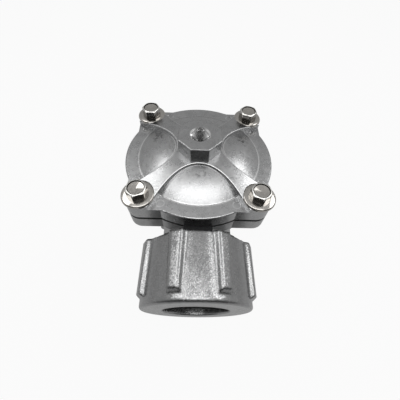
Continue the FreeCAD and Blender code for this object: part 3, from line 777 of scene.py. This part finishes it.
def spring_path():
    """Points along the wire, from the lower closed end to the upper one."""
    bottom = PLATE_TOP + SPRING_GAP + SPRING_WIRE / 2
    top = POCKET_TOP - SPRING_GAP - SPRING_WIRE / 2
    climb = top - bottom - 2 * SPRING_ENDS * SPRING_WIRE
    coils = SPRING_COILS + 2 * SPRING_ENDS
    steps = int(coils * SPRING_STEPS)
    path = []
    for step in range(steps + 1):
        turn = coils * step / steps
        risen = min(max((turn - SPRING_ENDS) / SPRING_COILS, 0), 1)
        dead_coils = min(turn, SPRING_ENDS) + max(turn - SPRING_ENDS - SPRING_COILS, 0)
        angle = 2 * math.pi * turn
        height = bottom + dead_coils * SPRING_WIRE + climb * risen
        path.append(Vector((SPRING_RADIUS * math.cos(angle), SPRING_RADIUS * math.sin(angle), height)))
    return path


def closing_spring():
    """Coil spring with closed ends."""
    upward = Vector((0, 0, SPRING_WIRE / 2))
    rings = []
    for spot in spring_path():
        outward = Vector((spot.x, spot.y, 0)).normalized() * SPRING_WIRE / 2
        ring = [spot + outward * math.cos(a) + upward * math.sin(a) for a in turns(SPRING_SIDES)]
        rings.append([tuple(point) for point in ring])
    spring = piece("spring_coil", skin(rings), "valve_body", "spring_steel", ["closing_spring"])
    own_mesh(spring)


# Studio

def floor():
    """Pale floor that the camera sees as white, and metal partly so."""
    mesh = bpy.data.meshes.new("floor")
    corners = [(sx * FLOOR_HALF, sy * FLOOR_HALF, 0) for sx, sy in ((-1, -1), (1, -1), (1, 1), (-1, 1))]
    mesh.from_pydata(corners, [], [(0, 1, 2, 3)])
    plane = bpy.data.objects.new("floor", mesh)
    scene.collection.objects.link(plane)
    mesh.materials.append(bpy.data.materials.new("floor"))
    n = Nodes(mesh.materials[0])
    path = n.add("LightPath").outputs
    pale = n.blend(n.noise(6), *[grey(level) for level in FLOOR_GREYS])
    diffuse = n.add("BsdfDiffuse", {"Color": pale}).outputs[0]
    white = n.add("Emission", {"Color": (1, 1, 1, 1), "Strength": 1.0}).outputs[0]
    mirrored = n.maths("ADD", path["Is Glossy Ray"], path["Is Transmission Ray"])
    seen = n.maths("ADD", path["Is Camera Ray"], n.times(mirrored, MIRRORED_WHITE))
    mixed = n.add("MixShader", {0: n.times(seen, FLOOR_WHITE), 1: diffuse, 2: white})
    n.add("OutputMaterial", {"Surface": mixed.outputs[0]})


def world():
    """Pale studio surround, lightest overhead and dim in front of the object."""
    scene.world = scene.world or bpy.data.worlds.new("world")
    n = Nodes(scene.world)
    path = n.add("LightPath").outputs
    parts = n.split(n.add("TexCoord").outputs["Generated"])
    height = n.maths("MAXIMUM", parts["Z"], 0)
    glow = n.times(n.maths("POWER", height, GLOW_SHARPNESS), ZENITH_GLOW)
    sky = n.maths("ADD", n.spread(height, HORIZON_LEVEL, ZENITH_LEVEL), glow)
    front = n.spread(parts["Y"], FRONT_LEVEL, 1, *FRONT_FADE)
    back = n.spread(parts["Y"], 1, BACK_LEVEL, *BACK_FADE)
    strength = n.times(sky, n.times(front, back))
    studio = n.add("Background", {"Color": (1, 1, 1, 1), "Strength": strength}).outputs[0]
    white = n.add("Background", {"Color": (1, 1, 1, 1), "Strength": 1.0}).outputs[0]
    seen = n.maths("ADD", path["Is Camera Ray"], path["Is Transmission Ray"])
    mixed = n.add("MixShader", {0: seen, 1: studio, 2: white})
    n.add("OutputWorld", {"Surface": mixed.outputs[0]})


def lamp(name, place, size, power):
    """Soft rectangular lamp aimed at the valve."""
    light = bpy.data.lights.new(name, "AREA")
    light.shape = "RECTANGLE"
    light.size, light.size_y = size
    light.energy = power
    lamp_object = bpy.data.objects.new(name, light)
    scene.collection.objects.link(lamp_object)
    lamp_object.location = place
    lamp_object.rotation_euler = (Vector(LIGHT_TARGET) - Vector(place)).to_track_quat("-Z", "Y").to_euler()
    lamp_object.visible_camera = False


def camera():
    eye = bpy.data.cameras.new("camera")
    eye.sensor_width = CAMERA_SENSOR
    eye.lens = CAMERA_LENS
    eye.clip_start = CAMERA_NEAR
    eye.clip_end = CAMERA_FAR
    holder = bpy.data.objects.new("camera", eye)
    scene.collection.objects.link(holder)
    holder.location = CAMERA_PLACE
    holder.rotation_euler = Euler([math.radians(angle) for angle in CAMERA_TURN])
    scene.camera = holder


make_materials()
dress(["cover"], "cover_casting")
dress(["body"], "body_casting")
dress(["inlet_nut", "outlet_nut"], "nut_casting")
dress(["diaphragm_top_plate", "diaphragm_rivet", "inlet_thrust_ring", "outlet_thrust_ring"], "plated_steel")
dress(["inlet_seal", "outlet_seal"], "rubber")
dress(["diaphragm_seat_disc"], "nylon")
fasteners()
threads()
diaphragm()
closing_spring()

floor()
world()
for lamp_name, settings in LAMPS.items():
    lamp(lamp_name, **settings)
camera()
scene.view_settings.view_transform = "Standard"
